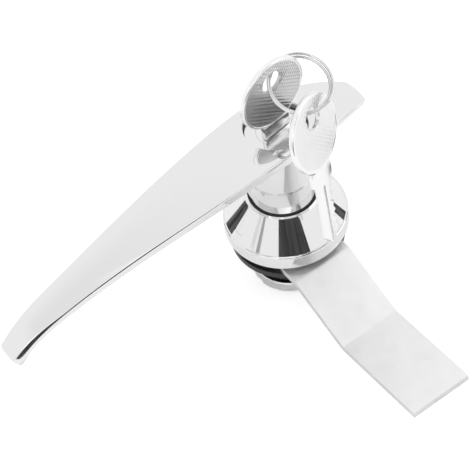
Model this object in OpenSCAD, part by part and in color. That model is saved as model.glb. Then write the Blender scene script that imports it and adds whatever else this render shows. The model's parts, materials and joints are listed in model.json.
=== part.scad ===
// Locking lever handle with a cranked cam, a key in its lock and a spare key on a ring.
// Millimetres. Z is the turning axis and points out of the door, the door's outer face is z = 0,
// the lever points along -X and the cam along -Y.

/* [Rosette] */
// Radius of the rosette at its rim
rosette_r = 18; // [16:0.5:24]
// Height of the straight rim
rim_h = 4.6; // [3:0.1:7]
// Height of the rosette up to its flat top
rosette_h = 13.7; // [12.8:0.1:18]
// Width of the flat ring left round the neck
top_land = 1.2; // [0.6:0.1:2]
// Width of the seat that lies on the door
seat_w = 2.8; // [2:0.1:4]
// Distance between the two fixing screws
screw_spacing = 26.4; // [25:0.1:28]
// Radius of the tapped hole for a fixing screw
screw_hole_r = 1.65; // [1.2:0.05:2]
// Depth of the tapped hole
screw_hole_depth = 6; // [4:0.5:7]
// Wall of the boss round the bearing bush
boss_wall = 1.6; // [1.2:0.1:2]

/* [Neck and journal] */
// Radius of the neck under the lever
neck_r = 10; // [9:0.1:11.5]
// Radius of the journal that turns in the rosette
journal_r = 7; // [6.8:0.1:7.6]
// Wall of the bearing bush
bush_wall = 1.95; // [1.5:0.05:2.5]
// Thickness of the seal ring under the neck
seal_h = 0.4; // [0.3:0.1:1]
// How far the seal stands out past the neck
seal_proud = 0; // [0:0.1:0.4]

/* [Lever] */
// Height of the lever's top at the axis, above the door
lever_z = 41; // [40:0.5:46]
// Width of the lever at the hub
hub_w = 22; // [21:0.5:27]
// Width of the lever at its tip
tip_w = 9.2; // [6:0.2:14]
// Width of the short tail at its end
tail_w = 9.4; // [6:0.2:14]
// Height of the lever's side wall at the hub
wall_hub = 3.8; // [3.5:0.1:6]
// Height of the side wall at the ends
wall_end = 2.1; // [1.6:0.1:3]
// Crown of the top as a share of the width
crown = 0.06; // [0.03:0.01:0.12]
// Skin left above the pocket under the lever
pocket_skin = 1; // [0.8:0.1:2]
// Length of the lever from the hub to the tip's bend
lever_reach = 70; // [45:1:95]
// Slope in degrees with which the lever leaves the hub
lever_slope = 7.5; // [0:0.5:12]
// Slope in degrees gained along the lever
lever_sag = 10; // [0:0.5:14]
// Bend radius of the tip
tip_bend_r = 34; // [20:1:40]
// Bend angle of the tip
tip_bend = 24; // [10:1:40]
// Bend radius of the tail
tail_bend_r = 53; // [35:1:60]
// Bend angle of the tail
tail_bend = 27; // [16:1:32]

/* [Lock] */
// Radius of the lock barrel in the hub
barrel_r = 6.95; // [6.5:0.05:7.5]
// Radius of the barrel's collar, which is the lock's face
collar_r = 8.9; // [8.2:0.1:9.2]
// Thickness of the collar
collar_h = 1; // [0.8:0.1:1.6]
// Depth of the lock's face below the lever's top
lock_sink = 2.7; // [2:0.1:3.2]
// Radius of the plug
plug_r = 5.5; // [5.2:0.05:5.7]
// Number of wafer tumblers
wafer_count = 5; // [3:1:6]
// Distance between wafers
wafer_pitch = 2.6; // [2.4:0.1:2.7]
// Thickness of a wafer
wafer_t = 1; // [0.7:0.1:1.4]
// Throw radius of the drive pin that works the bolt
drive_throw = 2.2; // [1.9:0.05:2.3]
// Angle that the key turns through
key_turn = 36; // [28:1:40]

/* [Keys] */
// Radius of a key's round bow
bow_r = 11; // [10:0.1:11]
// Thickness of a key
key_t = 1.6; // [1.2:0.1:1.6]
// Width of a key's blade
blade_w = 6; // [5.5:0.1:7.4]
// Length of a key's blade below the shoulder
blade_len = 18.6; // [17:0.1:19]
// Radius of the hole in the bow
bow_hole_r = 3.2; // [3.2:0.1:3.4]
// Distance from the bow's centre to its hole
bow_hole_up = 4.4; // [4.4:0.1:5]
// Mean radius of the key ring
ring_r = 8.4; // [8.4:0.1:8.8]
// Radius of the ring's wire bundle
ring_wire_r = 0.6; // [0.45:0.05:0.6]

/* [Cam and stack] */
// Thickest door that fits between the rosette and the cam
door_gap = 2.3; // [2.1:0.1:6]
// Width of the cam
cam_w = 19.2; // [16:0.2:24]
// Sideways offset of the cam's strip
cam_shift = -1.4; // [-2:0.1:2]
// Thickness of the cam
cam_t = 2; // [1.5:0.1:3]
// Reach of the cam's flat root from the axis
cam_root = 18.4; // [18:0.1:24]
// Drop of the crank
cam_drop = 8.8; // [4:0.1:14]
// Length of the crank along the cam
cam_crank = 20.6; // [14:0.1:30]
// Length of the tip beyond the crank
cam_tip = 30.8; // [15:0.2:60]
// Upward slope of the tip in degrees
cam_tip_slope = 5; // [0:0.5:12]
// Radius of the spacer's flange
flange_r = 16.6; // [12:0.1:17]
// Thickness of the spacer's flange
flange_t = 2; // [1.5:0.1:3]
// Radius of the spacer's sleeve
sleeve_r = 10.4; // [6:0.1:10.8]
// Length of the spacer's sleeve
sleeve_len = 9.2; // [4:0.1:14]
// Radius of the round nut
nut_r = 11.4; // [9:0.1:13]
// Height of the round nut
nut_h = 4.3; // [3:0.1:7]
// Width of the square spindle in the journal
spindle_w = 8; // [7:0.1:8.4]
// Width of the square that carries the cam
cam_square = 6.5; // [6.2:0.1:6.9]
// Radius of the threaded stud
stud_r = 3; // [2.5:0.1:3.1]

/* [Hidden] */
$fn = 64;
run = 0.05;
slip = 0.02;
eps = 0.01;

cone_r = rosette_r - 0.6;
rim_round = 0.6;
top_r = neck_r + top_land;
bush_r = journal_r + run + bush_wall;
boss_r = bush_r + boss_wall;
boss_foot = 1.5;
pocket_roof = 7;
screw_boss_r = screw_hole_r + 1.5;
pocket_r = rosette_r - seat_w;

neck_z = rosette_h + seal_h;
journal_end = -0.3;
clip_z = 0.3;
clip_t = 1;
clip_depth = 0.7;
clip_r = journal_r + 1.6;
stop_z = 3.3;
stop_r = 1.2;
stop_depth = 1.2;
cross_z = 5.9;
cross_r = 0.9;
socket_top = 7;

face_z = lever_z - lock_sink;
seat_z = face_z - collar_h;
plug_len = blade_len + 1.4;
key_rest = 7;
plug_bottom = face_z - plug_len;
barrel_lip = 1.2;
barrel_bottom = plug_bottom - 0.2 - barrel_lip;
tail_r = 2.5;
tail_bore_r = 4.6;
tail_flange_t = 1.3;
tongue_h = 2;
tongue_w = 1.5;
tongue_l = 2 * tail_r - 0.6;
circlip_t = 0.8;

bolt_z = 8.2;
bolt_h = 3;
bolt_w = 2 * (drive_throw + 1.8);
nose_w = 4;
nose_end = journal_r - 0.4;
body_end = 3.9;
body_back = -4;
pin_r = 1;
drive_angle = 90 + key_turn / 2;
bolt_throw = 2 * drive_throw * sin(key_turn / 2);
notch_r = journal_r + 2.4;

cam_top = -door_gap;
cam_under = cam_top - cam_t;
flange_under = cam_under - flange_t;
sleeve_under = flange_under - sleeve_len;
washer_t = 0.8;
washer_w = 2.5;
washer_gap = 0.8;
nut_top = sleeve_under - washer_t;
nut_under = nut_top - nut_h;
stud_end = nut_under - 1.1;

shoulder_up = 4;
bow_up = shoulder_up + bow_r - 0.1;
hole_up = bow_up + bow_hole_up;
lock_hole = [0, 0, face_z + hole_up];
// The ring hangs off the lock key's hole towards the front and right, tilted to face outwards.
ring_tilt = 22.588;
ring_turn = 269.525;
ring_lead = [-0.83366, 0.51093, 0.20967];
// The wire lies a little off the middle of the lock key's hole.
wire_rest = [-0.6184, -0.0759, -0.436];
ring_centre = lock_hole + wire_rest - ring_r * ring_lead;
// The spare key hangs from the front of the ring with its bow turned and its blade leaning out.
spare_turn = 21.553;
spare_roll = 15.093;
spare_lean = -15.213;
spare_arc = [-0.33092, -0.87087, -0.36343];
spare_wire = ring_centre + ring_r * spare_arc;
// The edge of the spare key's hole hangs on the wire, so the hole's middle lies lower.
spare_drop = 1.636;

// A ring or disc between two radii and two heights.
module ring(outer, inner, low, high) {
    translate([0, 0, low])
        difference() {
            cylinder(r = outer, h = high - low);
            translate([0, 0, -1]) cylinder(r = inner, h = high - low + 2);
        }
}

module square_bar(width, low, high) {
    translate([-width / 2, -width / 2, low]) cube([width, width, high - low]);
}

// Recesses that take the bolt's nose with the lever in either of its two positions.
module bolt_notches() {
    for (turn = [0, 90])
        rotate(turn)
            translate([0, -nose_w / 2 - 0.2, bolt_z - 0.1]) cube([notch_r, nose_w + 0.4, bolt_h + 0.2]);
}

module rosette_profile() {
    polygon(concat(
        [[0, 0], [rosette_r, 0], [rosette_r, rim_h - rim_round]],
        [for (a = [15:15:90]) [cone_r + rim_round * cos(a), rim_h - rim_round + rim_round * sin(a)]],
        [[top_r, rosette_h], [0, rosette_h]]));
}

module rosette() {
    color("gainsboro")
    difference() {
        union() {
            difference() {
                rotate_extrude() rosette_profile();
                translate([0, 0, -1])
                    rotate_extrude()
                        polygon([[boss_r, 0], [pocket_r, 0], [pocket_r, rim_h - 1], [boss_r + 1, pocket_roof + 1],
                            [boss_r, pocket_roof + 1]]);
                translate([0, 0, -1]) cylinder(r = boss_r + eps, h = 1 + boss_foot);
            }
            for (side = [-1, 1])
                translate([side * screw_spacing / 2, 0, 0]) cylinder(r = screw_boss_r, h = screw_hole_depth + 1);
        }
        translate([0, 0, -1]) cylinder(r = bush_r + slip, h = rosette_h + 2);
        for (side = [-1, 1])
            translate([side * screw_spacing / 2, 0, -1]) cylinder(r = screw_hole_r, h = screw_hole_depth + 1);
        bolt_notches();
        translate([0, 0, stop_z]) rotate([-90, 0, 0]) cylinder(r = stop_r + slip, h = boss_r + 1);
    }
}

module bearing_bush() {
    color("darkgoldenrod")
    difference() {
        ring(bush_r, journal_r + run, boss_foot, rosette_h - 0.5);
        bolt_notches();
        translate([0, 0, stop_z]) rotate([-90, 0, 0]) cylinder(r = stop_r + slip, h = boss_r + 1);
    }
}

module stop_pin() {
    color("dimgray")
    translate([0, journal_r - stop_depth + 0.2, stop_z])
        rotate([-90, 0, 0]) cylinder(r = stop_r, h = boss_r - journal_r + stop_depth - 0.2);
}

module neck_seal() {
    color("black") ring(neck_r + seal_proud, journal_r + 0.2, rosette_h, neck_z - slip);
}

// The lever runs from the tail's end over the hub to the tip. Each stretch is [length, turn down, steps].
tail_arc = tail_bend_r * tail_bend * PI / 180;
tip_arc = tip_bend_r * tip_bend * PI / 180;
hub_flat = 5;
hub_bend = 9;
tail_start = 3;
stretches = [[tail_arc, tail_bend, 8], [hub_flat, 0, 2], [hub_bend, lever_slope, 3], [lever_reach, lever_sag, 12],
    [tip_arc, tip_bend, 8]];
steps = [for (s = stretches) for (i = [1:s[2]]) [s[0] / s[2], s[1] / s[2]]];
hub_s = tail_arc + tail_start;
tip_s = tail_arc + hub_flat + hub_bend + lever_reach + tip_arc;
// Each station is [x, z, pitch, distance from the tail's end].
stations = [for (
    i = 0,
    x = tail_start + tail_bend_r * sin(tail_bend),
    z = lever_z - tail_bend_r * (1 - cos(tail_bend)),
    pitch = -tail_bend,
    s = 0;
    i <= len(steps);
    length = i < len(steps) ? steps[i][0] : 0,
    turn = i < len(steps) ? steps[i][1] : 0,
    x = x - length * cos(pitch + turn / 2),
    z = z - length * sin(pitch + turn / 2),
    pitch = pitch + turn,
    s = s + length,
    i = i + 1) [x, z, pitch, s]];

// Share of the way from the hub to the tip, or to the tail's end.
function reach(s) = s > hub_s ? (s - hub_s) / (tip_s - hub_s) : (hub_s - s) / hub_s;
function lever_width(s) = s > hub_s
    ? tip_w + (hub_w - tip_w) * (1 + cos(180 * reach(s))) / 2
    : hub_w - (hub_w - tail_w) * pow(reach(s), 1.7);
function side_wall(s) = wall_hub - (wall_hub - wall_end) * pow(reach(s), 0.8);
function pocket_ramp(s) = s < hub_s ? 0 : max(0, min(1, 7 * (reach(s) - 0.16), 7 * (0.9 - reach(s))));

// A section across the lever: a crowned top, two side walls and a pocket underneath.
crown_steps = 6;
function lever_section(s) = let (
        half = lever_width(s) / 2,
        rise = crown * 2 * half,
        foot = -rise - side_wall(s),
        roof = foot + pocket_ramp(s) * max(0, side_wall(s) - pocket_skin),
        lip = 0.72 * half,
        draft = 0.66 * half)
    concat(
        [for (k = [-crown_steps:crown_steps]) [half * k / crown_steps, -rise * pow(k / crown_steps, 2)]],
        [[0.98 * half, foot], [lip, foot], [draft, roof], [-draft, roof], [-lip, foot], [-0.98 * half, foot]]);

// One triangle of an end cap, fanned out from the crown's middle point.
function cap(start, i, count) = let (step = sign(i), top = crown_steps)
    [start + top, start + (top + i + count) % count, start + (top + i + step + count) % count];

module lever_blade() {
    rings = [for (st = stations) [for (p = lever_section(st[3]))
        [st[0] - p[1] * sin(st[2]), p[0], st[1] + p[1] * cos(st[2])]]];
    count = len(rings[0]);
    last = len(rings) - 1;
    polyhedron(
        points = [for (r = rings) each r],
        faces = concat(
            [for (j = [0:last - 1]) for (i = [0:count - 1]) let (k = (i + 1) % count)
                each [[j * count + i, (j + 1) * count + i, (j + 1) * count + k],
                    [j * count + i, (j + 1) * count + k, j * count + k]]],
            [for (i = [1:count - 2]) cap(0, i, count)],
            [for (i = [1:count - 2]) cap(last * count, -i, count)]));
}

module handle() {
    color("gainsboro")
    difference() {
        union() {
            lever_blade();
            translate([0, 0, neck_z]) cylinder(r = neck_r, h = lever_z - wall_hub - neck_z);
            translate([0, 0, journal_end]) cylinder(r = journal_r, h = neck_z - journal_end + 1);
        }
        translate([0, 0, barrel_bottom - 0.1]) cylinder(r = barrel_r + slip, h = lever_z);
        translate([0, 0, seat_z]) cylinder(r = collar_r + slip, h = lever_z);
        translate([0, 0, bolt_z + bolt_h]) cylinder(r = tail_bore_r, h = barrel_bottom - bolt_z);
        bolt_slot();
        translate([0, 0, -1]) square_bar(spindle_w + 2 * slip, journal_end, socket_top + 1);
        translate([0, 0, cross_z]) rotate([0, 90, 0])
            cylinder(r = cross_r + slip, h = 4 * journal_r, center = true);
        ring(journal_r + 1, journal_r - clip_depth, clip_z, clip_z + clip_t);
        stop_groove();
    }
}

// The slot in the journal that guides the bolt.
module bolt_slot() {
    translate([0, 0, bolt_z - run]) {
        translate([body_back - 0.1, -bolt_w / 2 - run, 0])
            cube([body_end + bolt_throw + 0.2 - body_back, bolt_w + 2 * run, bolt_h + 2 * run]);
        translate([0, -nose_w / 2 - run, 0]) cube([journal_r + 1, nose_w + 2 * run, bolt_h + 2 * run]);
    }
}

// The groove that lets the lever turn a quarter turn past the stop pin.
module stop_groove() {
    swing = asin((stop_r + 0.1) / (journal_r - stop_depth));
    translate([0, 0, stop_z - stop_r - 0.1])
        rotate(-swing)
            rotate_extrude(angle = 90 + 2 * swing)
                translate([journal_r - stop_depth, 0]) square([stop_depth + 1, 2 * stop_r + 0.2]);
}

module lock_barrel() {
    color("silver")
    difference() {
        rotate_extrude()
            polygon([[0, barrel_bottom], [barrel_r, barrel_bottom], [barrel_r, seat_z], [collar_r, seat_z],
                [collar_r, face_z - 0.3], [collar_r - 0.3, face_z], [0, face_z]]);
        translate([0, 0, plug_bottom - 0.2]) cylinder(r = plug_r + run, h = plug_len + 10);
        translate([0, 0, barrel_bottom - 1]) cylinder(r = tail_r + 0.25, h = 10);
    }
}

// The flat slot through the plug that takes the key's blade.
module keyway() {
    slot_w = blade_w + 0.3;
    slot_t = key_t + 0.2;
    rotate(key_rest)
        translate([-slot_w / 2, -slot_t / 2, face_z - blade_len - 0.2]) cube([slot_w, slot_t, blade_len + 1]);
}

wafer_x = 2 * plug_r - 1.3;
wafer_y = key_t + 2.6;
wafer_first = 3.4;
function wafer_z(i) = face_z - wafer_first - i * wafer_pitch;

module lock_plug() {
    color("silver")
    difference() {
        translate([0, 0, plug_bottom]) cylinder(r = plug_r, h = plug_len);
        keyway();
        for (i = [0:wafer_count - 1])
            rotate(key_rest)
                translate([-plug_r - 1, -wafer_y / 2 - run, wafer_z(i) - wafer_t - run])
                    cube([2 * plug_r + 2, wafer_y + 2 * run, wafer_t + 2 * run]);
        translate([-tongue_w / 2 - slip, -plug_r - 1, plug_bottom - 1])
            cube([tongue_w + 2 * slip, 2 * plug_r + 2, tongue_h - 1.2 + 1]);
    }
}

module wafer_tumblers() {
    color("goldenrod")
    for (i = [0:wafer_count - 1])
        translate([0, 0, wafer_z(i) - wafer_t]) rotate(key_rest)
            difference() {
                translate([-wafer_x / 2, -wafer_y / 2, 0]) cube([wafer_x, wafer_y, wafer_t]);
                translate([-blade_w / 2 - 0.35, -key_t / 2 - 0.3, -1])
                    cube([blade_w + 0.7, key_t + 0.6, wafer_t + 2]);
            }
}

// Carries the plug's turn down to the bolt, with an off-centre pin at its foot.
module drive_tail() {
    foot = bolt_z + bolt_h + 0.1;
    color("dimgray")
    difference() {
        union() {
            translate([0, 0, foot]) cylinder(r = tail_r, h = plug_bottom - foot - slip);
            translate([0, 0, foot]) cylinder(r = drive_throw + pin_r + 0.3, h = tail_flange_t);
            translate([-tongue_w / 2, -tongue_l / 2, plug_bottom - 1]) cube([tongue_w, tongue_l, tongue_h - 0.25]);
            rotate(drive_angle) translate([drive_throw, 0, bolt_z + 0.2]) cylinder(r = pin_r, h = foot - bolt_z);
        }
        ring(tail_r + 1, tail_r - 0.5, barrel_bottom - circlip_t - 0.1, barrel_bottom - 0.05);
    }
}

module tail_clip() {
    low = barrel_bottom - circlip_t - 0.08;
    color("dimgray")
    difference() {
        ring(tail_r + 1.6, tail_r - 0.5 + slip, low, low + circlip_t);
        translate([0, -tail_r * 0.7, low - 1]) cube([10, tail_r * 1.4, circlip_t + 2]);
    }
}

module lock_bolt() {
    pin_x = drive_throw * cos(drive_angle);
    color("slategray")
    difference() {
        union() {
            translate([body_back, -bolt_w / 2, bolt_z]) cube([body_end - body_back, bolt_w, bolt_h]);
            translate([0, -nose_w / 2, bolt_z]) cube([nose_end, nose_w, bolt_h]);
        }
        translate([pin_x - pin_r - 0.03, drive_throw * 0.35, bolt_z - 1])
            cube([2 * pin_r + 0.06, bolt_w, bolt_h + 2]);
    }
}

module spindle() {
    color("lightgray")
    difference() {
        union() {
            square_bar(spindle_w, cam_top, socket_top - 0.1);
            square_bar(cam_square, cam_under + 0.1, cam_top + 1);
            translate([0, 0, stud_end]) cylinder(r = stud_r, h = cam_top - stud_end);
        }
        translate([0, 0, cross_z]) rotate([0, 90, 0])
            cylinder(r = cross_r + slip, h = 2 * journal_r, center = true);
    }
}

module cross_pin() {
    color("gray")
    translate([0, 0, cross_z]) rotate([0, 90, 0]) cylinder(r = cross_r, h = 2 * journal_r - 0.4, center = true);
}

module retaining_ring() {
    color("dimgray")
    difference() {
        ring(clip_r, journal_r - clip_depth + run, clip_z + run, clip_z + clip_t - run);
        translate([-2.6, -clip_r - 1, clip_z - 1]) cube([5.2, clip_r - 2, clip_t + 2]);
    }
}

// The cam's side view as points along its upper face: [distance from the axis, height].
cam_line = [[0, cam_top], [cam_root, cam_top], [cam_root + cam_crank, cam_top - cam_drop],
    [cam_root + cam_crank + cam_tip * cos(cam_tip_slope), cam_top - cam_drop + cam_tip * sin(cam_tip_slope)]];
crank_angle = atan(cam_drop / cam_crank);
// Downward normals of the root, the crank and the tip.
cam_normals = [[0, -1], [-sin(crank_angle), -cos(crank_angle)], [sin(cam_tip_slope), -cos(cam_tip_slope)]];
// The corner on the lower face under a bend, so that the strip keeps its thickness.
function under_bend(i) = cam_line[i]
    + cam_t * (cam_normals[i - 1] + cam_normals[i]) / (1 + cam_normals[i - 1] * cam_normals[i]);

module cam_strip() {
    rotate([90, 0, -90])
        translate([0, 0, -cam_shift - cam_w / 2])
            linear_extrude(cam_w)
                polygon([cam_line[0], cam_line[1], cam_line[2], cam_line[3], cam_line[3] + cam_t * cam_normals[2],
                    under_bend(2), under_bend(1), cam_line[0] + cam_t * cam_normals[0]]);
}

module cam() {
    color("lightgray")
    difference() {
        union() {
            cam_strip();
            translate([cam_shift, 0, cam_under]) cylinder(r = cam_w / 2, h = cam_t);
        }
        square_bar(cam_square + 2 * slip, cam_under - 1, cam_top + 1);
    }
}

module cam_spacer() {
    color("black")
    difference() {
        union() {
            translate([0, 0, flange_under]) cylinder(r = flange_r, h = flange_t);
            translate([0, 0, sleeve_under]) cylinder(r = sleeve_r, h = sleeve_len + 1);
        }
        translate([0, 0, sleeve_under - 1]) cylinder(r = stud_r + 0.1, h = sleeve_len + flange_t + 2);
    }
}

module spring_washer() {
    color("silver")
    difference() {
        ring(stud_r + washer_w + 0.1, stud_r + 0.1, nut_top, nut_top + washer_t);
        translate([0, -washer_gap / 2, nut_top - 1]) cube([stud_r + washer_w + 1, washer_gap, washer_t + 2]);
    }
}

module cam_nut() {
    chamfer = 0.8;
    slot_w = 2.4;
    slot_d = 1.4;
    color("lightgray")
    difference() {
        rotate_extrude()
            polygon([[0, nut_under], [nut_r - chamfer, nut_under], [nut_r, nut_under + chamfer],
                [nut_r, nut_top - 0.3], [nut_r - 0.3, nut_top], [0, nut_top]]);
        translate([0, 0, nut_under - 1]) cylinder(r = stud_r + slip, h = nut_h + 2);
        for (turn = [0, 90])
            rotate(turn)
                translate([-nut_r - 1, -slot_w / 2, nut_under - 1]) cube([2 * nut_r + 2, slot_w, slot_d + 1]);
    }
}

// A key standing in the XZ plane with its shoulder at z = 0 and its blade pointing down.
module key() {
    cut_top = 3.4;
    cut_pitch = wafer_pitch;
    cut_depths = [0.9, 1.5, 0.6, 1.3, 1, 0.7];
    collar_w = blade_w + 3;
    edge = blade_w / 2;
    difference() {
        rotate([90, 0, 0])
            translate([0, 0, -key_t / 2]) {
                translate([0, bow_up, 0]) cylinder(r = bow_r, h = key_t);
                translate([-collar_w / 2, 0, 0]) cube([collar_w, bow_up, key_t]);
                linear_extrude(key_t)
                    polygon(concat(
                        [[-edge, 1], [edge, 1]],
                        [for (i = [0:wafer_count - 1]) let (z = -cut_top - i * cut_pitch)
                            each [[edge, z + 1.1], [edge - cut_depths[i], z + 0.3],
                                [edge - cut_depths[i], z - 0.3], [edge, z - 1.1]]],
                        [[0.6, -blade_len], [-0.6, -blade_len], [-edge, -blade_len + 2.4]]));
            }
        translate([0, 0, hole_up]) rotate([90, 0, 0]) cylinder(r = bow_hole_r, h = 2 * key_t, center = true);
        for (side = [-1, 1])
            translate([-0.6, side * key_t / 2, -blade_len - 1])
                translate([-0.7, -0.35, 0]) cube([1.4, 0.7, blade_len + 0.2]);
    }
}

module lock_key() {
    color("silver") translate([0, 0, face_z + 0.2]) rotate(key_rest) key();
}

module key_ring() {
    color("silver")
    translate(ring_centre + [0, 0, 0.2])
        rotate([0, ring_tilt, ring_turn])
            rotate_extrude() translate([ring_r, 0]) circle(r = ring_wire_r, $fn = 24);
}

module spare_key() {
    color("silver")
    translate(spare_wire + [0, 0, 0.2])
        rotate([spare_lean, spare_roll, spare_turn])
            translate([0, 0, -spare_drop - hole_up]) key();
}

rosette();
bearing_bush();
stop_pin();
neck_seal();
handle();
lock_barrel();
spindle();
cross_pin();
retaining_ring();
cam();
cam_spacer();
spring_washer();
cam_nut();
lock_plug();
wafer_tumblers();
drive_tail();
tail_clip();
lock_bolt();
lock_key();
key_ring();
spare_key();
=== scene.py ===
import json
import math

import bmesh
import bpy
from mathutils import Matrix, Vector


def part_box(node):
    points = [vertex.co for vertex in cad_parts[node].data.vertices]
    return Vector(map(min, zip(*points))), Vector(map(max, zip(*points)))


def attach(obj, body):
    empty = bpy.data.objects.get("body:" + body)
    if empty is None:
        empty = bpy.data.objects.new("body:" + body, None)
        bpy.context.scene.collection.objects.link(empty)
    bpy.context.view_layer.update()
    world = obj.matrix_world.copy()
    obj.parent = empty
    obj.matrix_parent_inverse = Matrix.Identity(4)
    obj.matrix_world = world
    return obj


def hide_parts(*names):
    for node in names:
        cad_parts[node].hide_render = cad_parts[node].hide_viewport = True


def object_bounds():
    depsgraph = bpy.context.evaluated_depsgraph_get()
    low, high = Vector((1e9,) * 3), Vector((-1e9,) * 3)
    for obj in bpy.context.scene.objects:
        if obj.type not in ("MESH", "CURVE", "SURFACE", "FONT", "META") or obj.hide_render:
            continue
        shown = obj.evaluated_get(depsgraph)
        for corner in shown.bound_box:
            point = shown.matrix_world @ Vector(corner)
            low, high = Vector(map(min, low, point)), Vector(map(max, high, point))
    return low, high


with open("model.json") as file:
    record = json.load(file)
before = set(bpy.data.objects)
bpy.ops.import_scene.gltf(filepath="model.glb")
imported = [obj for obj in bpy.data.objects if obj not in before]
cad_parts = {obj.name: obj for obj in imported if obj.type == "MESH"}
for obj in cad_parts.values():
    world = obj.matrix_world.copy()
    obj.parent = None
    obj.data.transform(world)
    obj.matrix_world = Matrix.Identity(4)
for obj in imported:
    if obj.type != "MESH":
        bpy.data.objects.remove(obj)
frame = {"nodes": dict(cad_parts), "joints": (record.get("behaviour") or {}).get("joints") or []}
cad_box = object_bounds()
nodes = frame["nodes"]
scene = bpy.context.scene
MM = 0.001


def box_mm(node):
    """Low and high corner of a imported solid, in millimetres."""
    low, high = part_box(node)
    return low / MM, high / MM


# Sizes in millimetres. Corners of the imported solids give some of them.
neck_seal_low, neck_seal_high = box_mm("neck_seal")
barrel_low, barrel_high = box_mm("lock_barrel")
bolt_low, bolt_high = box_mm("lock_bolt")
clip_low, clip_high = box_mm("retaining_ring")
cam_low, cam_high = box_mm("cam")
plug_high = box_mm("lock_plug")[1]
handle_low = box_mm("handle")[0]
key_low = box_mm("lock_key")[0]

NECK_R = 10.0
JOURNAL_R = 7.0
CLIP_GROOVE = 0.7
NECK_Z = neck_seal_high.z
LEVER_Z = 41.0
BARREL_BORE_R = 6.97
FACE_Z = barrel_high.z
COLLAR_R = barrel_high.x
COLLAR_H = 1.0


def soften(corners, steps=4):
    """Rounds a closed outline of (x, y, cut) corners. Each curve starts cut away from its corner."""
    out = []
    count = len(corners)
    for i, (x, y, cut) in enumerate(corners):
        here = Vector((x, y))
        if not cut:
            out.append(here)
            continue
        before = Vector(corners[i - 1][:2]) - here
        after = Vector(corners[(i + 1) % count][:2]) - here
        start = here + before.normalized() * cut
        end = here + after.normalized() * cut
        for k in range(steps + 1):
            t = k / steps
            out.append(start * (1 - t) ** 2 + here * 2 * t * (1 - t) + end * t ** 2)
    return out


def mesh_object(name, verts, faces, sharp_deg=38.0):
    """A closed mesh object from points in millimetres, shaded smooth except at sharp edges."""
    mesh = bpy.data.meshes.new(name)
    mesh.from_pydata([Vector(v) * MM for v in verts], [], faces)
    tidy_mesh(mesh, sharp_deg)
    obj = bpy.data.objects.new(name, mesh)
    scene.collection.objects.link(obj)
    return obj


def tidy_mesh(mesh, sharp_deg):
    """Merges doubled points, turns all faces outwards and sets the shading."""
    bm = bmesh.new()
    bm.from_mesh(mesh)
    bmesh.ops.remove_doubles(bm, verts=bm.verts, dist=1e-7)
    bmesh.ops.dissolve_degenerate(bm, edges=bm.edges, dist=1e-7)
    bmesh.ops.recalc_face_normals(bm, faces=bm.faces)
    bm.to_mesh(mesh)
    bm.free()
    mesh.shade_smooth()
    mesh.set_sharp_from_angle(angle=math.radians(sharp_deg))


def apply_modifiers(obj, sharp_deg=38.0):
    """Bakes an object's modifiers into its mesh."""
    bpy.context.view_layer.update()
    depsgraph = bpy.context.evaluated_depsgraph_get()
    mesh = bpy.data.meshes.new_from_object(obj.evaluated_get(depsgraph))
    obj.modifiers.clear()
    obj.data = mesh
    mesh.name = obj.name
    tidy_mesh(mesh, sharp_deg)


def combine(obj, other, operation):
    """Adds another object to this one, or cuts it away, and removes the other."""
    modifier = obj.modifiers.new("combine", "BOOLEAN")
    modifier.operation = operation
    modifier.solver = "EXACT"
    modifier.object = other
    apply_modifiers(obj)
    bpy.data.objects.remove(other)


def bevel(obj, width_mm, segments=3, angle_deg=35.0):
    """Rounds every edge sharper than the angle."""
    modifier = obj.modifiers.new("bevel", "BEVEL")
    modifier.width = width_mm * MM
    modifier.segments = segments
    modifier.limit_method = "ANGLE"
    modifier.angle_limit = math.radians(angle_deg)
    modifier.use_clamp_overlap = True
    apply_modifiers(obj)


def lathe(name, profile, segments=160):
    """A closed solid of revolution about Z from (radius, height) points."""
    verts = []
    faces = []
    rows = []
    for radius, height in profile:
        if radius < 1e-6:
            rows.append([len(verts)] * segments)
            verts.append((0, 0, height))
            continue
        rows.append(list(range(len(verts), len(verts) + segments)))
        for k in range(segments):
            a = 2 * math.pi * k / segments
            verts.append((radius * math.cos(a), radius * math.sin(a), height))
    for low, high in zip(rows, rows[1:]):
        for k in range(segments):
            n = (k + 1) % segments
            face = list(dict.fromkeys((low[k], low[n], high[n], high[k])))
            if len(face) > 2:
                faces.append(face)
    return mesh_object(name, verts, faces)


def loft(name, sections):
    """A closed solid through sections that have the same number of points."""
    count = len(sections[0])
    verts = [p for section in sections for p in section]
    faces = []
    for j in range(len(sections) - 1):
        for i in range(count):
            k = (i + 1) % count
            faces.append((j * count + i, j * count + k, (j + 1) * count + k, (j + 1) * count + i))
    faces.append(list(range(count)))
    faces.append(list(range((len(sections) - 1) * count, len(sections) * count)))
    return mesh_object(name, verts, faces)


def box_object(name, low, high):
    """A box between two corners in millimetres."""
    corners = [(x, y, z) for x in (low[0], high[0]) for y in (low[1], high[1]) for z in (low[2], high[2])]
    faces = [(0, 1, 3, 2), (4, 6, 7, 5), (0, 4, 5, 1), (2, 3, 7, 6), (0, 2, 6, 4), (1, 5, 7, 3)]
    return mesh_object(name, corners, faces)


# Materials


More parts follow.
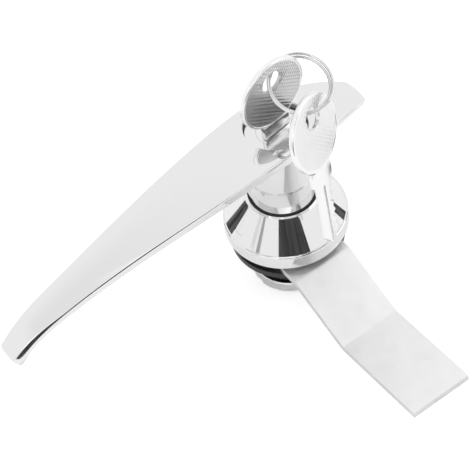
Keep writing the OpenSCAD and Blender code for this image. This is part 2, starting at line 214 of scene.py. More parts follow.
class Shader:
    """A node material with a Principled shader, and short calls for the nodes that feed it."""

    def __init__(self, name, colour, metallic, roughness):
        self.material = bpy.data.materials.new(name)
        self.material.use_nodes = True
        self.tree = self.material.node_tree
        self.bsdf = self.tree.nodes["Principled BSDF"]
        self.bsdf.inputs["Base Color"].default_value = (*colour, 1)
        self.bsdf.inputs["Metallic"].default_value = metallic
        self.bsdf.inputs["Roughness"].default_value = roughness
        self.place = self.node("ShaderNodeTexCoord").outputs["Object"]

    def node(self, kind, **inputs):
        made = self.tree.nodes.new(kind)
        for key, value in inputs.items():
            self.feed(made.inputs[key.replace("_", " ")], value)
        return made

    def feed(self, socket, value):
        if isinstance(value, bpy.types.NodeSocket):
            self.tree.links.new(value, socket)
        else:
            socket.default_value = value

    def noise(self, size_mm, detail=3.0, stretch=(1, 1, 1)):
        """Noise whose patches are about size_mm across, stretched along the axes."""
        mapping = self.node("ShaderNodeMapping", Vector=self.place)
        mapping.inputs["Scale"].default_value = [1 / (size_mm * MM * s) for s in stretch]
        made = self.node("ShaderNodeTexNoise", Vector=mapping.outputs["Vector"], Scale=1.0, Detail=detail)
        return made.outputs["Fac"]

    def ramp(self, factor, low, high, start=0.3, end=0.7):
        """Maps a factor between start and end onto low to high."""
        made = self.node("ShaderNodeMapRange", Value=factor)
        made.inputs["From Min"].default_value = start
        made.inputs["From Max"].default_value = end
        made.inputs["To Min"].default_value = low
        made.inputs["To Max"].default_value = high
        return made.outputs["Result"]

    def math(self, operation, a, b=0.0):
        made = self.tree.nodes.new("ShaderNodeMath")
        made.operation = operation
        self.feed(made.inputs[0], a)
        self.feed(made.inputs[1], b)
        return made.outputs[0]

    def blend(self, factor, dark, light):
        """Colour that goes from dark to light with the factor."""
        made = self.node("ShaderNodeValToRGB", Fac=factor)
        made.color_ramp.elements[0].position = 0.3
        made.color_ramp.elements[0].color = (*dark, 1)
        made.color_ramp.elements[1].position = 0.7
        made.color_ramp.elements[1].color = (*light, 1)
        return made.outputs["Color"]

    def bump(self, height, depth_mm, strength=1.0):
        made = self.node("ShaderNodeBump", Height=height)
        made.inputs["Strength"].default_value = strength
        made.inputs["Distance"].default_value = depth_mm * MM
        self.feed(self.bsdf.inputs["Normal"], made.outputs["Normal"])

    def set(self, socket, value):
        self.feed(self.bsdf.inputs[socket], value)


def chrome(name):
    """Bright chrome plating with faint polishing waves and handling marks."""
    s = Shader(name, (0.815, 0.815, 0.815), 1.0, 0.06)
    s.set("Roughness", s.ramp(s.noise(9, 4), 0.035, 0.085))
    s.bump(s.noise(6, 2), 0.012, 0.35)
    return s.material


def zinc_plate(name, stretch):
    """Zinc-plated steel strip: satin, slightly mottled, with rolling marks along its length."""
    s = Shader(name, (0.88, 0.88, 0.88), 1.0, 0.5)
    s.set("Base Color", s.blend(s.noise(5, 4), (0.86, 0.86, 0.86), (0.9, 0.9, 0.9)))
    s.set("Roughness", s.ramp(s.noise(1.2, 4, stretch), 0.46, 0.54))
    s.bump(s.noise(0.6, 3, stretch), 0.006, 0.4)
    return s.material


def plain_metal(name, colour, roughness, grain_mm=1.5):
    """Turned or stamped metal with a little variation in tone and gloss."""
    s = Shader(name, colour, 1.0, roughness)
    s.set("Base Color", s.blend(s.noise(4, 3), [c * 0.88 for c in colour], colour))
    s.set("Roughness", s.ramp(s.noise(grain_mm, 4), roughness * 0.8, roughness * 1.25))
    s.bump(s.noise(grain_mm * 0.4, 3), 0.01, 0.3)
    return s.material


def black_moulding(name, colour, roughness, grain_mm):
    """Moulded nylon or rubber with a fine grain."""
    s = Shader(name, colour, 0.0, roughness)
    s.set("Base Color", s.blend(s.noise(5, 3), [c * 0.7 for c in colour], colour))
    s.set("Roughness", s.ramp(s.noise(grain_mm, 3), roughness * 0.85, roughness * 1.2))
    s.bump(s.noise(grain_mm, 2), 0.02, 0.4)
    return s.material


CHROME = chrome("chrome")
ZINC_CAM = zinc_plate("zinc_cam", (1, 14, 1))
ZINC_TURNED = plain_metal("zinc_turned", (0.68, 0.68, 0.68), 0.24)
WIRE = plain_metal("wire", (0.74, 0.74, 0.74), 0.08, 0.8)
BLACK_NYLON = black_moulding("black_nylon", (0.018, 0.018, 0.019), 0.42, 0.35)
RUBBER = black_moulding("rubber", (0.012, 0.012, 0.012), 0.6, 0.25)
BRONZE = plain_metal("bronze", (0.55, 0.37, 0.18), 0.35)
BRASS = plain_metal("brass", (0.78, 0.58, 0.24), 0.28)
# Dark steel for the small parts, also used as painted shade on the wall of the lever's recess.
DARK_STEEL_AND_SHADE = plain_metal("dark_steel", (0.22, 0.22, 0.23), 0.35)

finishes = {
    "rosette": CHROME, "lock_barrel": CHROME, "lock_plug": CHROME, "bearing_bush": BRONZE,
    "stop_pin": DARK_STEEL_AND_SHADE, "spindle": ZINC_TURNED, "cross_pin": DARK_STEEL_AND_SHADE,
    "retaining_ring": DARK_STEEL_AND_SHADE, "cam_spacer": BLACK_NYLON, "spring_washer": ZINC_TURNED,
    "cam_nut": ZINC_TURNED, "wafer_tumblers": BRASS, "drive_tail": DARK_STEEL_AND_SHADE, "tail_clip": DARK_STEEL_AND_SHADE,
    "lock_bolt": DARK_STEEL_AND_SHADE,
}
for node_name, material in finishes.items():
    mesh = nodes[node_name].data
    mesh.materials.clear()
    mesh.materials.append(material)


def dress(obj, body, material, slot, *replaced):
    """Finishes a piece, puts it in place of the solids it stands for and lets it ride on their body."""
    obj.data.materials.clear()
    obj.data.materials.append(material)
    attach(obj, body)
    if replaced:
        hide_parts(*replaced)


# Lever handle: a lofted lever on a turned neck and journal

HUB_W = 22.0
TIP_W = 9.2
TAIL_W = 9.4
WALL_HUB = 3.8
WALL_END = 2.1
CROWN = 0.06
HUB_CROWN = 0.45
POCKET_SKIN = 1.0
LEVER_REACH = 69.4
LEVER_SLOPE = 7.5
LEVER_SAG = 10.0
TIP_BEND_R = 34.0
TIP_BEND = 24.0
TAIL_BEND_R = 53.0
TAIL_BEND = 27.0
HUB_FLAT = 5.0
HUB_BEND = 9.0
TAIL_START = 3.0
HUB_FACET = 0.3
FACET = 0.52
TIP_FACET = 2.3
FACET_SLOPE = 55.0
END_ROUND = 1.2
END_NARROW = 1.6
END_THIN = 0.8
CROWN_REACH = 0.3
FACET_START = 0.3
TIP_FACET_START = 0.8
FACET_RAMP = 0.2
POCKET_START = 0.16
POCKET_END = 0.9
POCKET_RAMP = 7.0
POCKET_LIP = 0.72
POCKET_ROOF = 0.66
TAIL_ARC = TAIL_BEND_R * math.radians(TAIL_BEND)
TIP_ARC = TIP_BEND_R * math.radians(TIP_BEND)
HUB_S = TAIL_ARC + TAIL_START
TIP_S = TAIL_ARC + HUB_FLAT + HUB_BEND + LEVER_REACH + TIP_ARC


def lever_stations():
    """Stations from the tail's end over the hub to the tip: (x, z, pitch, distance from the tail's end)."""
    stretches = [(TAIL_ARC, TAIL_BEND, 24), (HUB_FLAT, 0, 4), (HUB_BEND, LEVER_SLOPE, 8),
                 (LEVER_REACH, LEVER_SAG, 56), (TIP_ARC, TIP_BEND, 16)]
    x = TAIL_START + TAIL_BEND_R * math.sin(math.radians(TAIL_BEND))
    z = LEVER_Z - TAIL_BEND_R * (1 - math.cos(math.radians(TAIL_BEND)))
    pitch = -TAIL_BEND
    s = 0.0
    stations = [(x, z, pitch, s)]
    for length, turn, steps in stretches:
        for _ in range(steps):
            middle = math.radians(pitch + turn / steps / 2)
            x -= length / steps * math.cos(middle)
            z -= length / steps * math.sin(middle)
            pitch += turn / steps
            s += length / steps
            stations.append((x, z, pitch, s))
    return stations


def reach(s):
    """Share of the way from the hub to the tip, or to the tail's end."""
    return (s - HUB_S) / (TIP_S - HUB_S) if s > HUB_S else (HUB_S - s) / HUB_S


def lever_section(s, narrow=0.0, thin=0.0):
    """Section across the lever, with a facet along each edge that widens to the tip, and a pocket below."""
    r = min(1.0, reach(s))
    if s > HUB_S:
        half = (TIP_W + (HUB_W - TIP_W) * (1 + math.cos(math.pi * r)) / 2) / 2
    else:
        half = (HUB_W - (HUB_W - TAIL_W) * r ** 1.7) / 2
    wall = WALL_HUB - (WALL_HUB - WALL_END) * r ** 0.8
    rise = CROWN * 2 * half * min(1.0, HUB_CROWN + (1 - HUB_CROWN) * r / CROWN_REACH)
    ramp = 0.0
    if s >= HUB_S:
        ramp = max(0.0, min(1.0, POCKET_RAMP * (r - POCKET_START), POCKET_RAMP * (POCKET_END - r)))
    ramp = ramp * ramp * (3 - 2 * ramp)
    foot = -rise - wall
    roof = foot + ramp * max(0.0, wall - POCKET_SKIN)
    lip = POCKET_LIP * half
    draft = POCKET_ROOF * half
    facet = HUB_FACET
    if s > HUB_S:
        facet += (FACET - HUB_FACET) * min(1.0, max(0.0, (r - FACET_START) / FACET_RAMP))
        facet += (TIP_FACET - FACET) * max(0.0, (r - TIP_FACET_START) / FACET_RAMP) ** 1.2
    shelf = half - facet * math.cos(math.radians(FACET_SLOPE))
    brink = -rise * (shelf / half) ** 2
    drop = brink - facet * math.sin(math.radians(FACET_SLOPE))
    crown_steps = 9
    crown = [(shelf * k / crown_steps, brink * (k / crown_steps) ** 2, 0.0)
             for k in range(1 - crown_steps, crown_steps)]
    crease = 0.06 + 0.08 * facet
    side = [(shelf, brink, crease), (half, drop, 0.1 + 0.3 * facet), (0.98 * half, foot, 0.25),
            (lip, foot, 0.04 * half), (draft, roof, 0.04 * half)]
    other = [(-a, b, c) for a, b, c in reversed(side)]
    points = soften(crown + side + other)
    middle = Vector((0, (foot - 0.3 * rise) / 2))
    wide = (half - narrow) / half
    tall = 1 - thin / ((rise + wall) / 2)
    return [Vector((p.x * wide, middle.y + (p.y - middle.y) * tall)) for p in points]


def place_section(points, x, z, pitch):
    """Puts a section's points at a station, tilted by the pitch there."""
    a = math.radians(pitch)
    return [(x - p.y * math.sin(a), p.x, z + p.y * math.cos(a)) for p in points]


def lever_blade():
    """The lever with both ends rounded off."""
    stations = lever_stations()
    sections = [place_section(lever_section(s), x, z, pitch) for x, z, pitch, s in stations]
    for turn in (20, 40, 60, 75, 88):
        back_off = 1 - math.cos(math.radians(turn))
        ahead = END_ROUND * math.sin(math.radians(turn))
        for at, sign in ((0, 1), (-1, -1)):
            x, z, pitch, s = stations[at]
            a = math.radians(pitch)
            outline = lever_section(s, END_NARROW * back_off, END_THIN * back_off)
            end_x = x + sign * ahead * math.cos(a)
            end_z = z + sign * ahead * math.sin(a)
            section = place_section(outline, end_x, end_z, pitch)
            sections.insert(0 if at == 0 else len(sections), section)
    return loft("lever_handle", sections)


lever = lever_blade()
hub = lathe("hub", [
    (0, handle_low.z), (JOURNAL_R - 0.3, handle_low.z), (JOURNAL_R, handle_low.z + 0.3),
    (JOURNAL_R, clip_low.z - 0.05), (JOURNAL_R - CLIP_GROOVE, clip_low.z - 0.05),
    (JOURNAL_R - CLIP_GROOVE, clip_high.z + 0.05), (JOURNAL_R, clip_high.z + 0.05),
    (JOURNAL_R, NECK_Z), (NECK_R - 0.25, NECK_Z), (NECK_R - 0.07, NECK_Z + 0.07), (NECK_R, NECK_Z + 0.25),
    (NECK_R, LEVER_Z - WALL_HUB - 2.7), (NECK_R + 0.12, LEVER_Z - WALL_HUB - 2.1),
    (NECK_R + 0.4, LEVER_Z - WALL_HUB - 1.6), (NECK_R + 0.8, LEVER_Z - WALL_HUB - 1.35),
    (NECK_R + 0.8, LEVER_Z - WALL_HUB - 0.8), (0, LEVER_Z - WALL_HUB - 0.8),
])
combine(lever, hub, "UNION")
# The lock sits in a stepped bore whose rim is rounded.
bore_r = COLLAR_R + 0.02
combine(lever, lathe("bore", [
    (0, barrel_low.z - 0.1), (BARREL_BORE_R, barrel_low.z - 0.1), (BARREL_BORE_R, FACE_Z - COLLAR_H),
    (bore_r, FACE_Z - COLLAR_H), (bore_r, LEVER_Z - 1.1), (bore_r + 0.05, LEVER_Z - 0.75),
    (bore_r + 0.18, LEVER_Z - 0.4), (bore_r + 0.4, LEVER_Z), (bore_r + 0.4, LEVER_Z + 3), (0, LEVER_Z + 3),
]), "DIFFERENCE")
combine(lever, box_object("bolt_slot", (bolt_low.x - 0.1, bolt_low.y - 0.05, bolt_low.z - 0.05),
                          (JOURNAL_R + 1, bolt_high.y + 0.05, bolt_high.z + 0.05)), "DIFFERENCE")
dress(lever, "lever", CHROME, "chrome", "handle")
# The wall of the recess gets the dark finish as painted shade and dark reflection.
lever.data.materials.append(DARK_STEEL_AND_SHADE)
for face in lever.data.polygons:
    across = math.hypot(face.center.x, face.center.y) / MM
    deep = LEVER_Z - face.center.z / MM
    if abs(across - bore_r) < 0.15 and 0.8 < deep < LEVER_Z - FACE_Z + COLLAR_H and abs(face.normal.z) < 0.5:
        face.material_index = 1

seal = lathe("seal_lip", [
    (JOURNAL_R + 0.2, neck_seal_low.z), (NECK_R + 0.02, neck_seal_low.z),
    (NECK_R + 0.16, neck_seal_low.z + 0.1), (NECK_R + 0.16, neck_seal_high.z - 0.02),
    (NECK_R + 0.04, neck_seal_high.z + 0.1),
    (NECK_R - 0.3, neck_seal_high.z - 0.02), (JOURNAL_R + 0.2, neck_seal_high.z - 0.02),
    (JOURNAL_R + 0.2, neck_seal_low.z),
])
dress(seal, "base", RUBBER, "rubber", "neck_seal")

# Keys

KEY_T = 1.6
BOW_R = 11.0
KEY_REST = 7.0
SHOULDER_Z = plug_high.z + 0.2
BOW_UP = 4.0 + BOW_R - 0.1
HOLE_UP = BOW_UP + 4.4
BOW_HOLE_R = 3.2
HOLE_FLARE = 0.3
BLADE_W = 6.0
BLADE_LEN = SHOULDER_Z - key_low.z
SHOULDER_W = BLADE_W + 3
CUT_DEPTHS = (0.9, 1.5, 0.6, 1.3, 1.0)
CUT_PITCH = 2.6
CUT_TOP = 3.4
KEY_EDGE = 0.45
FIELD_R = BOW_R - 0.75
FIELD_DEEP = 0.12
DASH_PITCH = 0.9
ROW_PITCH = 1.1
ROW_SLANT = -35.0


def blade_outline():
    """Shoulder and cut blade, with the shoulder's foot at height 0."""
    half = SHOULDER_W / 2
    edge = BLADE_W / 2
    top = BOW_UP - FIELD_R - 0.3
    points = [(half, top), (-half, top), (-half, 0), (-edge, 0), (-edge, 2.4 - BLADE_LEN),
              (-0.6, -BLADE_LEN), (0.6, -BLADE_LEN)]
    for i in reversed(range(len(CUT_DEPTHS))):
        z = -CUT_TOP - i * CUT_PITCH
        deep = edge - CUT_DEPTHS[i]
        points += [(edge, z - 1.1), (deep, z - 0.3), (deep, z + 0.3), (edge, z + 1.1)]
    points += [(edge, 0), (half, 0)]
    return points


def key_blade():
    """The shoulder and blade in the XZ plane, with a milled groove along each side."""
    outline = blade_outline()
    count = len(outline)
    deep = KEY_T / 2 - 0.02
    verts = [(x, y, z) for y in (-deep, deep) for x, z in outline]
    faces = [list(range(count)), list(range(count, 2 * count))]
    faces += [(k, (k + 1) % count, (k + 1) % count + count, k + count) for k in range(count)]
    blade = mesh_object("key_blade", verts, faces)
    bevel(blade, 0.14, 2)
    for side in (-1, 1):
        middle = side * KEY_T / 2
        groove = box_object("groove", (-1.3, middle - 0.35, -BLADE_LEN - 1), (0.1, middle + 0.35, -0.8))
        combine(blade, groove, "DIFFERENCE")
    return blade


def key_object(name):
    """A key in the XZ plane: a turned bow with a sunken field on each face, its hole, and the blade."""
    stand = Matrix.Rotation(math.radians(90), 4, "X")
    half = KEY_T / 2
    floor_y = half - FIELD_DEEP
    face = [(0, floor_y), (FIELD_R, floor_y), (FIELD_R + 0.1, half)]
    for turn in range(0, 91, 18):
        a = math.radians(turn)
        face.append((BOW_R - KEY_EDGE * (1 - math.sin(a)), half - KEY_EDGE * (1 - math.cos(a))))
    bow = lathe(name, face + [(r, -y) for r, y in reversed(face)], 144)
    bow.data.transform(Matrix.Translation((0, 0, BOW_UP * MM)) @ stand)
    combine(bow, key_blade(), "UNION")
    flare = []
    for turn in (0, 30, 60, 90):
        a = math.radians(turn)
        flare.append((BOW_HOLE_R + HOLE_FLARE * (1 - math.cos(a)), floor_y - HOLE_FLARE * (1 - math.sin(a))))
    flare.append((BOW_HOLE_R + HOLE_FLARE, floor_y + 0.5))
    below = [(r, -y) for r, y in reversed(flare)]
    hole = lathe("hole", [(0, -floor_y - 0.5)] + below + flare + [(0, floor_y + 0.5)], 64)
    hole.data.transform(Matrix.Translation((0, 0, HOLE_UP * MM)) @ stand)
    combine(bow, hole, "DIFFERENCE")
    return bow


def key_metal(name, shade_low, shade_high, relief_mm):
    """Nickel-plated key: rows of fine raised dashes in the bow's field, and a darkening of the field, deeper
    between the dashes and towards the bottom of the bow, that is painted reflection and shade with some
    grime.
    """
    s = Shader(name, (0.84, 0.84, 0.84), 1.0, 0.26)
    s.set("Roughness", s.ramp(s.noise(1.1, 4), 0.19, 0.25))
    axes = s.node("ShaderNodeSeparateXYZ", Vector=s.place)
    waves = []
    for turn, pitch in ((ROW_SLANT, DASH_PITCH), (ROW_SLANT + 90, ROW_PITCH)):
        a = math.radians(turn)
        per_m = math.pi / (pitch * MM)
        along = s.math("ADD", s.math("MULTIPLY", axes.outputs[0], per_m * math.cos(a)),
                       s.math("MULTIPLY", axes.outputs[2], per_m * math.sin(a)))
        waves.append(s.math("SINE", along))

    def distance_from(height):
        up = s.math("SUBTRACT", axes.outputs[2], height * MM)
        return s.math("SQRT", s.math("ADD", s.math("POWER", axes.outputs[0], 2.0), s.math("POWER", up, 2.0)))

    inside = s.math("LESS_THAN", distance_from(BOW_UP), (FIELD_R - 0.25) * MM)
    clear_of_hole = s.math("GREATER_THAN", distance_from(HOLE_UP), (BOW_HOLE_R + 0.4) * MM)
    field = s.math("MULTIPLY", inside, clear_of_hole)
    dashes = s.math("MULTIPLY", s.math("ABSOLUTE", s.math("MULTIPLY", *waves)), field)
    field_darkening = s.math("MULTIPLY", s.ramp(dashes, 0.75, 0.5, 0.0, 1.0), inside)
    # Painted reflection and shade: the field darkens towards the bottom of the bow.
    shade_and_grime = s.ramp(axes.outputs[2], shade_low, shade_high, (BOW_UP - 2) * MM, (BOW_UP + 9) * MM)
    tone = s.math("SUBTRACT", s.ramp(s.noise(5, 4), 0.9, 0.93), s.math("MULTIPLY", field_darkening, shade_and_grime))
    s.set("Base Color", tone)
    s.bump(dashes, relief_mm, 1.0)
    return s.material


lock_key = key_object("lock_key_piece")
lock_key.matrix_world = (
    Matrix.Translation((0, 0, SHOULDER_Z * MM)) @ Matrix.Rotation(math.radians(KEY_REST), 4, "Z")
)
# The lock key's bow field is painted dark, standing in for the dark reflection and shade on it.
dress(lock_key, "key", key_metal("nickel_shaded", 0.6, 0.3, 0.05), "nickel", "lock_key")

spare_joint = next(j for j in frame["joints"] if j["name"] == "spare_key_swing")
SPARE_TURN = 21.553
SPARE_ROLL = 15.093
SPARE_LEAN = -15.213
spare_key = key_object("spare_key_piece")
spare_key.matrix_world = (
    Matrix.Translation(spare_joint["pos_m"])
    @ Matrix.Rotation(math.radians(SPARE_TURN), 4, "Z")
    @ Matrix.Rotation(math.radians(SPARE_ROLL), 4, "Y")
    @ Matrix.Rotation(math.radians(SPARE_LEAN), 4, "X")
    @ Matrix.Translation((0, 0, -HOLE_UP * MM))
)
dress(spare_key, "spare", key_metal("nickel_spare", 0.13, 0.13, 0.025), "nickel", "spare_key")

# Split ring

RING_R = 8.4
RING_WIRE_R = 0.38
RING_TILT = 22.588
RING_TURN = 269.525
RING_STEP = 0.34
ring_low, ring_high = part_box("key_ring")


def split_ring():
    """Two turns of wire side by side, with a short crossing where one turn steps over to the other."""
    curve = bpy.data.curves.new("split_ring", "CURVE")
    curve.dimensions = "3D"
    curve.bevel_depth = RING_WIRE_R * MM
    curve.bevel_resolution = 5
    curve.use_fill_caps = True
    spline = curve.splines.new("POLY")
    steps = 288
    spline.points.add(steps)
    for k, point in enumerate(spline.points):
        turns = 2 * k / steps
        step = min(1.0, max(0.0, (turns - 0.92) / 0.16))
        side = RING_STEP * (2 * step * step * (3 - 2 * step) - 1)
        a = 2 * math.pi * turns
        r = (RING_R + side) * MM
        point.co = (r * math.cos(a), r * math.sin(a), side * MM, 1)
    coil = bpy.data.objects.new("split_ring", curve)
    scene.collection.objects.link(coil)
    bpy.context.view_layer.update()
    mesh = bpy.data.meshes.new_from_object(coil.evaluated_get(bpy.context.evaluated_depsgraph_get()))
    bpy.data.objects.remove(coil)
    tidy_mesh(mesh, 50)
    obj = bpy.data.objects.new("split_ring", mesh)
    scene.collection.objects.link(obj)
    return obj


ring = split_ring()
ring.matrix_world = (
    Matrix.Translation((ring_low + ring_high) / 2)
    @ Matrix.Rotation(math.radians(RING_TURN), 4, "Z")
    @ Matrix.Rotation(math.radians(RING_TILT), 4, "Y")
)
dress(ring, "ring", WIRE, "wire", "key_ring")

# Cam: a plated strip with two bends

CAM_W = cam_high.x - cam_low.x
CAM_X = (cam_high.x + cam_low.x) / 2
CAM_T = 2.0
CAM_TOP = cam_high.z
CAM_ROOT = 18.4
CAM_CRANK = 20.6
CAM_DROP = 8.8
CAM_TIP = 30.8
CAM_TIP_SLOPE = 5.0
CAM_BEND_R = 3.0
CAM_SQUARE = 6.54


def cam_object():
    """The strip's stations follow its upper face; its half width closes to a round end at the root."""
    crank = math.degrees(math.atan2(CAM_DROP, CAM_CRANK))
    run = math.hypot(CAM_DROP, CAM_CRANK)
    half = CAM_W / 2
    first = CAM_BEND_R * math.tan(math.radians(crank / 2))
    second = CAM_BEND_R * math.tan(math.radians((crank + CAM_TIP_SLOPE) / 2))
    arc = math.radians(crank) * CAM_BEND_R
    arc_back = math.radians(crank + CAM_TIP_SLOPE) * CAM_BEND_R
    stretches = [(CAM_ROOT - first, 0, 4), (arc, crank, 8), (run - first - second, 0, 4),
                 (arc_back, -crank - CAM_TIP_SLOPE, 8), (CAM_TIP - second, 0, 4)]
    stations = [(-half * math.cos(math.radians(a)), CAM_TOP, 0, max(0.4, half * math.sin(math.radians(a))))
                for a in range(0, 90, 5)]
    y, z, pitch = 0.0, CAM_TOP, 0.0
    stations.append((y, z, pitch, half))
    for length, turn, steps in stretches:
        for _ in range(steps):
            middle = math.radians(pitch + turn / steps / 2)
            y += length / steps * math.cos(middle)
            z -= length / steps * math.sin(middle)
            pitch += turn / steps
            stations.append((y, z, pitch, half))
    sections = []
    for y, z, pitch, wide in stations:
        a = math.radians(pitch)
        low = (y - CAM_T * math.sin(a), z - CAM_T * math.cos(a))
        left = CAM_X - wide
        right = CAM_X + wide
        sections.append([(left, -y, z), (right, -y, z), (right, -low[0], low[1]), (left, -low[0], low[1])])
    strip = loft("cam_strip", sections)
    hole = CAM_SQUARE / 2
    combine(strip, box_object("square", (-hole, -hole, CAM_TOP - CAM_T - 1), (hole, hole, CAM_TOP + 1)),
            "DIFFERENCE")
    bevel(strip, 0.35, 3)
    return strip


cam = cam_object()
dress(cam, "lever", ZINC_CAM, "zinc_steel", "cam")
# The sheared edges are duller than the rolled faces.
cam.data.materials.append(plain_metal("zinc_edge", (0.74, 0.74, 0.74), 0.45, 0.6))
for face in cam.data.polygons:
    if abs(face.normal.x) > 0.3 or abs(face.normal.y) > 0.6:
        face.material_index = 1

# Floor, lights and camera


def show_background(tree, lit):
    """Mix shader: the given one for other rays, and its third input for the camera and reflections."""
    path = tree.nodes.new("ShaderNodeLightPath")
    seen = tree.nodes.new("ShaderNodeMath")
    seen.operation = "MAXIMUM"
    tree.links.new(path.outputs["Is Camera Ray"], seen.inputs[0])
    tree.links.new(path.outputs["Is Glossy Ray"], seen.inputs[1])
    all_seen = tree.nodes.new("ShaderNodeMath")
    all_seen.operation = "MAXIMUM"
    tree.links.new(seen.outputs[0], all_seen.inputs[0])
    tree.links.new(path.outputs["Is Transmission Ray"], all_seen.inputs[1])
    mix = tree.nodes.new("ShaderNodeMixShader")
    tree.links.new(all_seen.outputs[0], mix.inputs[0])
    tree.links.new(lit, mix.inputs[1])
    return mix


world = bpy.data.worlds.new("studio")
scene.world = world
world.use_nodes = True
world_tree = world.node_tree
ambient = world_tree.nodes["Background"]
ambient.inputs["Color"].default_value = (1, 1, 1, 1)
ambient.inputs["Strength"].default_value = 0.76
white = world_tree.nodes.new("ShaderNodeBackground")
white.inputs["Color"].default_value = (1, 1, 1, 1)
white.inputs["Strength"].default_value = 1.0
world_mix = show_background(world_tree, ambient.outputs[0])
world_tree.links.new(white.outputs[0], world_mix.inputs[2])
world_tree.links.new(world_mix.outputs[0], world_tree.nodes["World Output"].inputs["Surface"])

FLOOR_GAP = 0.2
floor_z = cad_box[0][2] - FLOOR_GAP * MM
floor_mesh = bpy.data.meshes.new("floor")
FLOOR_REACH = 4.0
floor_corners = [(x * FLOOR_REACH, y * FLOOR_REACH, floor_z)
                 for x, y in ((-1, -1), (1, -1), (1, 1), (-1, 1))]
floor_mesh.from_pydata(floor_corners, [], [(0, 1, 2, 3)])
floor = bpy.data.objects.new("floor", floor_mesh)
scene.collection.objects.link(floor)
floor_shader = Shader("floor", (0.95, 0.95, 0.95), 0.0, 0.9)
floor_seen = floor_shader.node("ShaderNodeLightPath").outputs["Is Camera Ray"]
floor_strength = floor_shader.ramp(floor_seen, 0.2, 0.46, 0.0, 1.0)
floor_glow = floor_shader.node("ShaderNodeEmission", Strength=floor_strength)
floor_sum = floor_shader.node("ShaderNodeAddShader")
floor_tree = floor_shader.tree
floor_tree.links.new(floor_shader.bsdf.outputs[0], floor_sum.inputs[0])
floor_tree.links.new(floor_glow.outputs[0], floor_sum.inputs[1])
floor_mix = show_background(floor_tree, floor_shader.bsdf.outputs[0])
floor_tree.links.new(floor_sum.outputs[0], floor_mix.inputs[2])
floor_tree.links.new(floor_mix.outputs[0], floor_tree.nodes["Material Output"].inputs["Surface"])
floor_mesh.materials.append(floor_shader.material)


def area_light(name, place, aim, size, power):
    """A rectangular lamp aimed at a point."""
    data = bpy.data.lights.new(name, "AREA")
    data.shape = "RECTANGLE"
    data.size, data.size_y = size
    data.energy = power
    lamp = bpy.data.objects.new(name, data)
    lamp.location = place
    lamp.rotation_euler = (Vector(aim) - Vector(place)).to_track_quat("-Z", "Y").to_euler()
    scene.collection.objects.link(lamp)


area_light("key_light", (-0.45, -0.2, 0.75), (0, 0, 0.02), (0.8, 0.8), 1.15)
area_light("fill_light", (0.6, -0.35, 0.4), (0, 0, 0.02), (0.46, 0.46), 0.38)


def reflection_card(name, corners, material, place=(0, 0, 0)):
    """A four-cornered card that shows only in reflections."""
    mesh = bpy.data.meshes.new(name)
    mesh.from_pydata(corners, [], [(0, 1, 2, 3)])
    mesh.materials.append(material)
    card = bpy.data.objects.new(name, mesh)
    card.location = place
    scene.collection.objects.link(card)
    card.visible_camera = False
    card.visible_diffuse = False
    card.visible_shadow = False


def flag(name, azimuth, distance, width, low, high, material):
    """An upright card that faces the part and puts a painted dark reflection into the metal; far off it
    stands for a dark side of the studio.
    """
    a = math.radians(azimuth)
    out = Vector((math.sin(a), -math.cos(a), 0))
    across = Vector((math.cos(a), math.sin(a), 0))
    corners = [out * distance + across * side * width / 2 + Vector((0, 0, z))
               for side, z in ((-1, low), (1, low), (1, high), (-1, high))]
    reflection_card(name, corners, material)


def card_material(name, dark, light, patch_mm):
    """Matt card with soft patches, like the uneven dark side of a room."""
    s = Shader(name, (dark, dark, dark), 0.0, 0.9)
    s.set("Base Color", s.blend(s.noise(patch_mm, 3), (dark, dark, dark), (light, light, light)))
    return s.material


FLAG = card_material("flag", 0.012, 0.1, 45)
NEAR_FLAG = card_material("near_flag", 0.03, 0.22, 6)
GREY_FLAG = card_material("grey_flag", 0.45, 0.6, 45)
flag("front_flag", -26.0, 0.35, 0.32, -0.02, 0.16, FLAG)
flag("upper_flag", 16.0, 0.30, 0.32, 0.27, 0.5, FLAG)
flag("left_flag", -83.0, 0.35, 0.035, -0.02, 0.2, GREY_FLAG)
# The side and right cards stand a few centimetres from the part and put painted dark reflections into the
# chrome.
flag("side_flag", -131.0, 0.051, 0.016, -0.012, 0.012, NEAR_FLAG)
flag("right_flag", 66.0, 0.0526, 0.012, -0.005, 0.014, NEAR_FLAG)


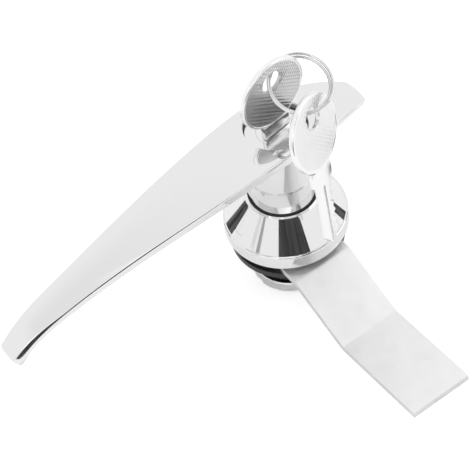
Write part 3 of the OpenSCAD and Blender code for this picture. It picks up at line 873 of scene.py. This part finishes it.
def soft_card(name, low, high, z, tone):
    """A grey card overhead that fades out to its edges and shows only in reflections."""
    s = Shader(name, (tone, tone, tone), 0.0, 0.9)
    centre = Vector(((low[0] + high[0]) / 2, (low[1] + high[1]) / 2, z))
    half = Vector(((high[0] - low[0]) / 2, (high[1] - low[1]) / 2))
    axes = s.node("ShaderNodeSeparateXYZ", Vector=s.place)
    rise = [s.ramp(s.math("ABSOLUTE", axes.outputs[k]), 1.0, 0.0, 0.3 * half[k], half[k]) for k in (0, 1)]
    cover = s.math("MULTIPLY", *rise)
    grey = s.node("ShaderNodeEmission", Color=(tone, tone, tone, 1), Strength=1.0)
    clear = s.node("ShaderNodeBsdfTransparent")
    mix = s.node("ShaderNodeMixShader", Fac=cover)
    s.tree.links.new(clear.outputs[0], mix.inputs[1])
    s.tree.links.new(grey.outputs[0], mix.inputs[2])
    s.tree.links.new(mix.outputs[0], s.tree.nodes["Material Output"].inputs["Surface"])
    corners = [(x * half.x, y * half.y, 0) for x, y in ((-1, -1), (1, -1), (1, 1), (-1, 1))]
    reflection_card(name, corners, s.material, centre)


soft_card("overhead_card", (-0.45, -0.3), (0.0, 0.42), 0.35, 0.915)

CAMERA_AZIMUTH = -29.412
CAMERA_ELEVATION = 51.665
CAMERA_ROLL = -8.866
CAMERA_DISTANCE = 0.5075
CAMERA_OFFSET = (-0.01527, -0.00245)
FOCAL_PX = 1768.9
IMAGE_PX = 470
SENSOR = 36.0

azimuth = math.radians(CAMERA_AZIMUTH)
elevation = math.radians(CAMERA_ELEVATION)
roll = math.radians(CAMERA_ROLL)
back = Vector((math.sin(azimuth) * math.cos(elevation), -math.cos(azimuth) * math.cos(elevation),
               math.sin(elevation)))
right = Vector((math.cos(azimuth), math.sin(azimuth), 0))
up = back.cross(right)
rolled_right = right * math.cos(roll) + up * math.sin(roll)
rolled_up = up * math.cos(roll) - right * math.sin(roll)
eye = right * CAMERA_OFFSET[0] + up * CAMERA_OFFSET[1] + back * CAMERA_DISTANCE
camera_data = bpy.data.cameras.new("camera")
camera_data.sensor_width = SENSOR
camera_data.lens = FOCAL_PX / IMAGE_PX * SENSOR
camera_data.clip_start = 0.01
camera = bpy.data.objects.new("camera", camera_data)
camera.matrix_world = Matrix((rolled_right, rolled_up, back)).transposed().to_4x4()
camera.location = eye
scene.collection.objects.link(camera)
scene.camera = camera
scene.view_settings.view_transform = "Standard"
